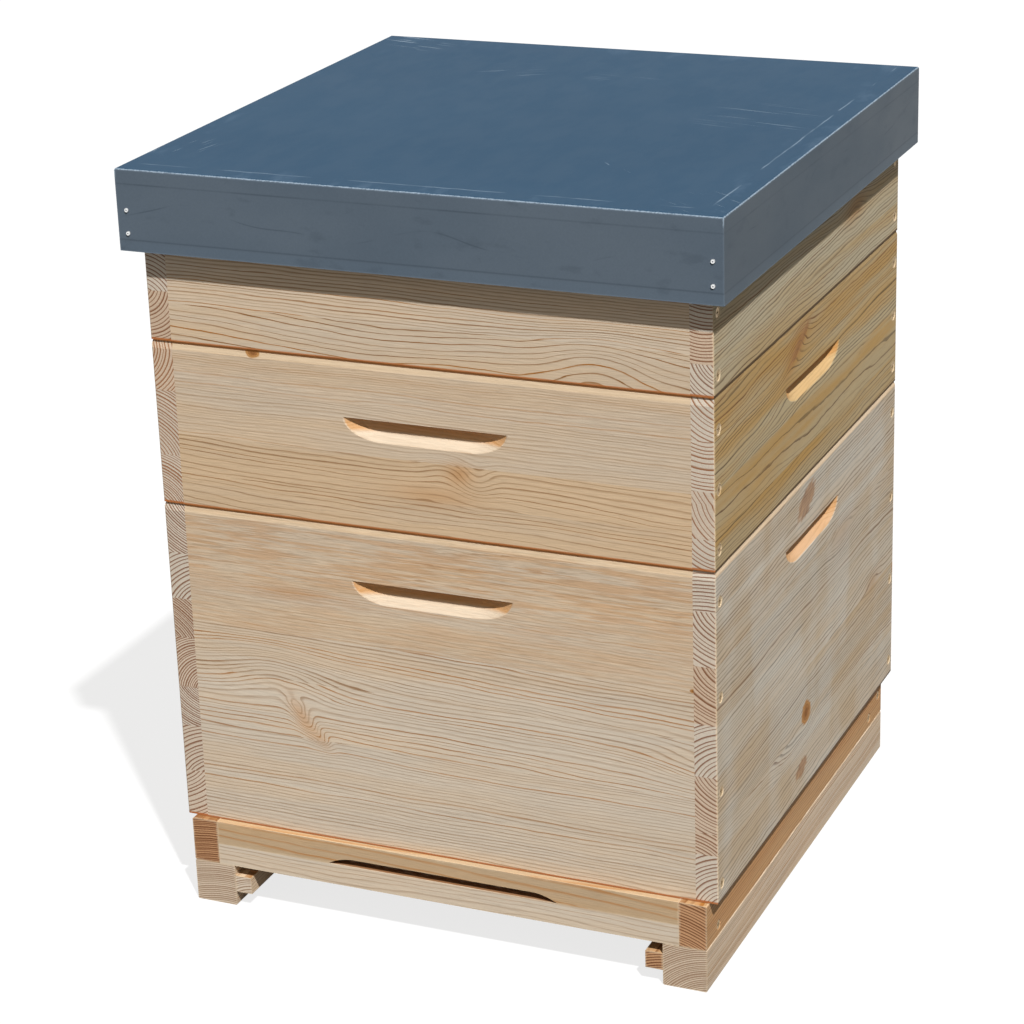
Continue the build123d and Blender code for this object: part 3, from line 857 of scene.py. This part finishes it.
# A group of scratches: its place and reach, the way it runs, the length and width of a scratch, and the noise
# level above which a scratch shows
Scratches = namedtuple("Scratches", "x y reach angle length width least")
SCRATCHES = (
    Scratches(190, 40, 62, -10, 160, 1.6, 0.14),
    Scratches(143, -140, 30, -46, 24, 1.8, 0.21),
    Scratches(-88, 152, 40, 28, 120, 1.5, 0.15),
    Scratches(24, 143, 44, -9, 150, 1.4, 0.17),
    Scratches(240, -232, 42, -33, 60, 1.5, 0.17),
    Scratches(-252, -186, 40, 80, 60, 2.0, 0.12),
    Scratches(-226, 246, 44, -11, 60, 2.0, 0.12),
)
SCRATCH_GREY = rgb(176, 194, 208)
FOLD_LINE_INSET = 19.0
HEM_HEIGHT = 10.0
CREASE_DROP = 13.0
HAIR_DROP = 34.0


def scratched(shader, x, y, mark):
    """Share of bare scratch in one group, fading towards its edge."""
    turn = math.radians(mark.angle)
    east, north = x - mark.x, y - mark.y
    run = east * math.cos(turn) + north * math.sin(turn)
    side = north * math.cos(turn) - east * math.sin(turn)
    line = shader.noise(shader.vector(run / mark.length, side / mark.width, mark.angle))
    away = shader.math("SQRT", east * east + north * north)
    scratch = shader.smooth(line, mark.least, mark.least + 0.06)
    return scratch * shader.smooth(away, mark.reach * 0.4, mark.reach, 0.8, 0.0)


def roof_coat():
    """Blue-grey coated sheet: hazy, with dull smudges and thin scratches, painted with a sky reflection on
    the top and the hem, shade on the left and right sides and in the creases, and highlights on the edges.
    """
    shader = Shader("roof_coat")
    low, high = box_mm("roof_sheet")
    x, y, z = shader.place()
    normal = shader.facing()
    level = shader.smooth(normal[2], 0.5, 0.95)
    upright = 1.0 - level
    inset = shader.math("MINIMUM", high.x - abs(x), high.y - abs(y))
    drop = high.z - z
    rise = z - low.z
    haze = shader.smooth(shader.noise(shader.vector(x / 190, y / 190, z / 90), 3.0), -0.2, 0.2)
    smear = shader.noise(shader.vector(x / 26, y / 60, z / 22), 4.0, 0.6)
    grain = shader.noise(shader.vector(x / 1.5, y / 1.5, z / 1.5), 2.0)
    # Painted light by facing: the top is painted blue as a reflection of the sky, the left and right sides
    # darker as shade
    sky_reflection_top = shader.mix(haze, rgb(38, 68, 92), rgb(40, 70, 94))
    side_colour = shader.mix(haze, rgb(88, 101, 114), rgb(96, 108, 120))
    shaded_flank_share = shader.smooth(abs(normal[0]), 0.6, 0.9)
    shaded_flank = shader.mix(haze, rgb(78, 89, 99), rgb(88, 97, 105))
    side_colour = shader.mix(shaded_flank_share, side_colour, shaded_flank)
    colour = shader.mix(level, side_colour, sky_reflection_top)

    # Top: dust towards the rim, a pale line left by the fold, and scratches
    dust = shader.smooth(smear, 0.0, 0.2) * shader.smooth(inset, 8.0, 45.0, 0.25, 0.0)
    colour = shader.mix(dust * level, colour, rgb(92, 114, 136))
    rubbed = shader.smooth(shader.noise(shader.vector(x / 60, y / 60, 0.0)), -0.06, 0.08)
    folded = shader.math("MINIMUM", high.x - x, y - low.y)
    inner_line = shader.smooth(abs(folded - FOLD_LINE_INSET + smear * 4.0), 0.3, 1.0, 0.5, 0.0)
    colour = shader.mix(inner_line * rubbed * level, colour, rgb(140, 160, 178))
    for mark in SCRATCHES:
        colour = shader.mix(scratched(shader, x, y, mark) * level, colour, SCRATCH_GREY)

    # Sides: a painted sky reflection on the hem along the rim, painted shade in the fold above the hem, in a
    # crease under the top and in a hairline crease, and dark smudges
    hem_reflection = shader.smooth(rise, HEM_HEIGHT - 3.0, HEM_HEIGHT, 0.07, 0.0) * upright
    colour = shader.mix(hem_reflection, colour, rgb(108, 130, 150))
    fold_shade = shader.smooth(abs(rise - HEM_HEIGHT), 0.3, 1.0, 0.35, 0.0) * upright
    crease_shade = shader.smooth(abs(drop - CREASE_DROP), 0.3, 1.0, 0.4, 0.0) * (rubbed * 0.5 + 0.5) * upright
    slow = shader.noise(shader.vector(x / 160, y / 160, 0.0), 1.0)
    hair_shade = shader.smooth(abs(drop - HAIR_DROP + slow * 90.0), 0.2, 0.8, 0.4, 0.0) * rubbed * upright
    # Painted shade in the fold and the creases
    marks = shader.math("MAXIMUM", shader.math("MAXIMUM", fold_shade, crease_shade), hair_shade)
    colour = shader.mix(marks, colour, rgb(56, 66, 76))
    smudge = shader.noise(shader.vector(x / 34, y / 34, z / 16), 4.0, 0.6)
    colour = shader.mix(shader.smooth(smudge, 0.06, 0.2, 0.0, 0.22) * upright, colour, rgb(64, 74, 84))
    edge = edge_distance(shader, (x, y, z), low, high) + grain * 1.5
    # Painted highlight along the edges, strongest near the top
    edge_highlight = shader.smooth(drop, 4.0, 10.0, 0.75, 0.1) * shader.smooth(edge, 0.3, 1.4, 1.0, 0.0)
    colour = shader.mix(edge_highlight, colour, rgb(170, 188, 204))
    colour = shader.scale(colour, grain * 0.15 + 1.0)
    dent = shader.noise(shader.vector(x / 150, y / 150, z / 150), 1.0)
    roughness = shader.smooth(smear, -0.15, 0.15, 0.47, 0.51)
    bump = shader.bump(dent + grain * 0.01, 0.004, 0.4)
    return shader.finish(colour, roughness, bump, specular=0.04)


WIRE_SIDES = 6
MESH_PITCH = 0.003


def wire_floor():
    """Welded wire mesh: two layers of straight wires where the CAD has a coarse grille."""
    low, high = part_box("floor_mesh")
    middle = (low + high) / 2
    radius = (high.z - low.z) / 4
    upward = Vector((0, 0, radius))
    points = []
    faces = []

    def wire(start, end, across):
        first = len(points)
        last = first + WIRE_SIDES
        for centre in (start, end):
            for corner in range(WIRE_SIDES):
                turn = 2 * math.pi * corner / WIRE_SIDES
                points.append(centre + across * (radius * math.cos(turn)) + upward * math.sin(turn))
        for corner in range(WIRE_SIDES):
            after = (corner + 1) % WIRE_SIDES
            faces.append((first + corner, first + after, last + after, last + corner))
        faces.append(tuple(first + corner for corner in reversed(range(WIRE_SIDES))))
        faces.append(tuple(last + corner for corner in range(WIRE_SIDES)))

    for axis, level in ((0, low.z + radius), (1, high.z - radius)):
        across = Vector((0, 1, 0)) if axis == 0 else Vector((1, 0, 0))
        half = (high - low).dot(across) / 2 - radius
        count = int(half / MESH_PITCH)
        for number in range(-count, count + 1):
            start, end = middle.copy(), middle.copy()
            start[axis], end[axis] = low[axis], high[axis]
            start.z = end.z = level
            shift = across * (number * MESH_PITCH)
            wire(start + shift, end + shift, across)
    mesh = bpy.data.meshes.new("wire_floor")
    mesh.from_pydata(points, [], faces)
    mesh.validate()
    piece = bpy.data.objects.new("wire_floor", mesh)
    bpy.context.scene.collection.objects.link(piece)
    mesh.materials.append(galvanised())
    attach(piece, "base")
    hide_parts("floor_mesh")


FIRST_FRAMES = {
    "brood": "brood_frame_01",
    "lower_super": "lower_super_frame_01",
    "upper_super": "upper_super_frames",
}


def dress_small_parts():
    """Screws, roof, boards, and one material for all the frames of a box."""
    for node in ("base_screws", "brood_screws", "lower_super_screws", "upper_super_screws"):
        dress(node, zinc_screw(node))
    dress("roof_sheet", roof_coat())
    dress("roof_rivets", rivet_metal())
    for node in ("cover_board", "varroa_tray"):
        dress(node, hardboard(node))
    for box, first in FIRST_FRAMES.items():
        low, high = box_mm(first)
        paint = frame_wood(f"{box}_frame", high.z, low.z)
        for node in NODES:
            if node.startswith(f"{box}_frame"):
                dress(node, paint)


# Studio: pale floor, soft light and the photograph's camera

def seen_directly(shader):
    """1 for rays from the camera and for reflections, 0 for light on its way to the object."""
    camera_ray = shader.node("LightPath", {}, "Is Camera Ray")
    outputs = camera_ray.socket.node.outputs
    glossy_ray = Signal(shader, outputs["Is Glossy Ray"])
    clear_ray = Signal(shader, outputs["Is Transmission Ray"])
    return shader.math("MAXIMUM", shader.math("MAXIMUM", camera_ray, glossy_ray), clear_ray)


WHITE = (1.0, 1.0, 1.0, 1.0)
FLOOR_PALE = (0.9, 0.9, 0.9, 1.0)
FLOOR_BOUNCE = (0.2, 0.2, 0.2, 1.0)
FLOOR_GLOW = 0.78
FLOOR_REACH = 20.0


def floor():
    """A pale floor that shows the object's shadow and throws little light back up at it."""
    shader = Shader("pale_floor")
    seen = seen_directly(shader)
    matt = shader.node("BsdfDiffuse", {"Color": shader.mix(seen, FLOOR_BOUNCE, FLOOR_PALE)})
    white = shader.node("Emission", {"Color": WHITE, "Strength": 1.0})
    both = shader.node("MixShader", {0: seen * FLOOR_GLOW, 1: matt, 2: white})
    shader.show(both)
    mesh = bpy.data.meshes.new("floor")
    near, far = -FLOOR_REACH, FLOOR_REACH
    corners = [(near, near, 0), (far, near, 0), (far, far, 0), (near, far, 0)]
    mesh.from_pydata(corners, [], [(0, 1, 2, 3)])
    mesh.materials.append(shader.owner)
    piece = bpy.data.objects.new("floor", mesh)
    bpy.context.scene.collection.objects.link(piece)


def world(ambient):
    """White to the eye, and an even soft light of the given colour on the object."""
    shader = Shader("studio", bpy.data.worlds)
    colour = shader.mix(seen_directly(shader), ambient, WHITE)
    shader.show(shader.node("Background", {"Color": colour, "Strength": 1.0}), "OutputWorld")
    bpy.context.scene.world = shader.owner


def sun(name, direction, strength, angle, shine=True):
    """A distant lamp; without shine it lights surfaces evenly and leaves no highlight on them."""
    lamp = bpy.data.lights.new(name, "SUN")
    lamp.energy = strength
    lamp.angle = math.radians(angle)
    piece = bpy.data.objects.new(name, lamp)
    piece.visible_glossy = shine
    piece.rotation_euler = Vector(direction).to_track_quat("Z", "Y").to_euler()
    bpy.context.scene.collection.objects.link(piece)


def camera(position, target, roll, lens):
    """The scene's camera, turned about its own axis by the roll in degrees."""
    data = bpy.data.cameras.new("camera")
    data.lens = lens
    data.sensor_width = 36.0
    piece = bpy.data.objects.new("camera", data)
    back = (Vector(position) - Vector(target)).normalized()
    turn = back.to_track_quat("Z", "Y").to_matrix() @ Matrix.Rotation(math.radians(roll), 3, "Z")
    piece.matrix_world = Matrix.Translation(position) @ turn.to_4x4()
    bpy.context.scene.collection.objects.link(piece)
    bpy.context.scene.camera = piece


dress_box("brood", seed=0)
dress_box("lower_super", seed=4)
dress_box("upper_super", seed=8)
dress_base()
dress_small_parts()
wire_floor()
floor()
world(ambient=(0.150, 0.138, 0.118, 1.0))
sun("key", direction=(0.394, -0.437, 0.808), strength=4.28, angle=1.5)
sun("fill", direction=(-0.60, -0.75, 0.30), strength=0.25, angle=90.0)
sun("back_fill", direction=(-0.62, 0.78, 0.10), strength=1.2, angle=90.0, shine=False)
camera(position=(1.00188, -2.33289, 1.29264), target=(-0.03634, 0.0, 0.30719), roll=-1.996, lens=104.168)
bpy.context.scene.view_settings.view_transform = "Standard"
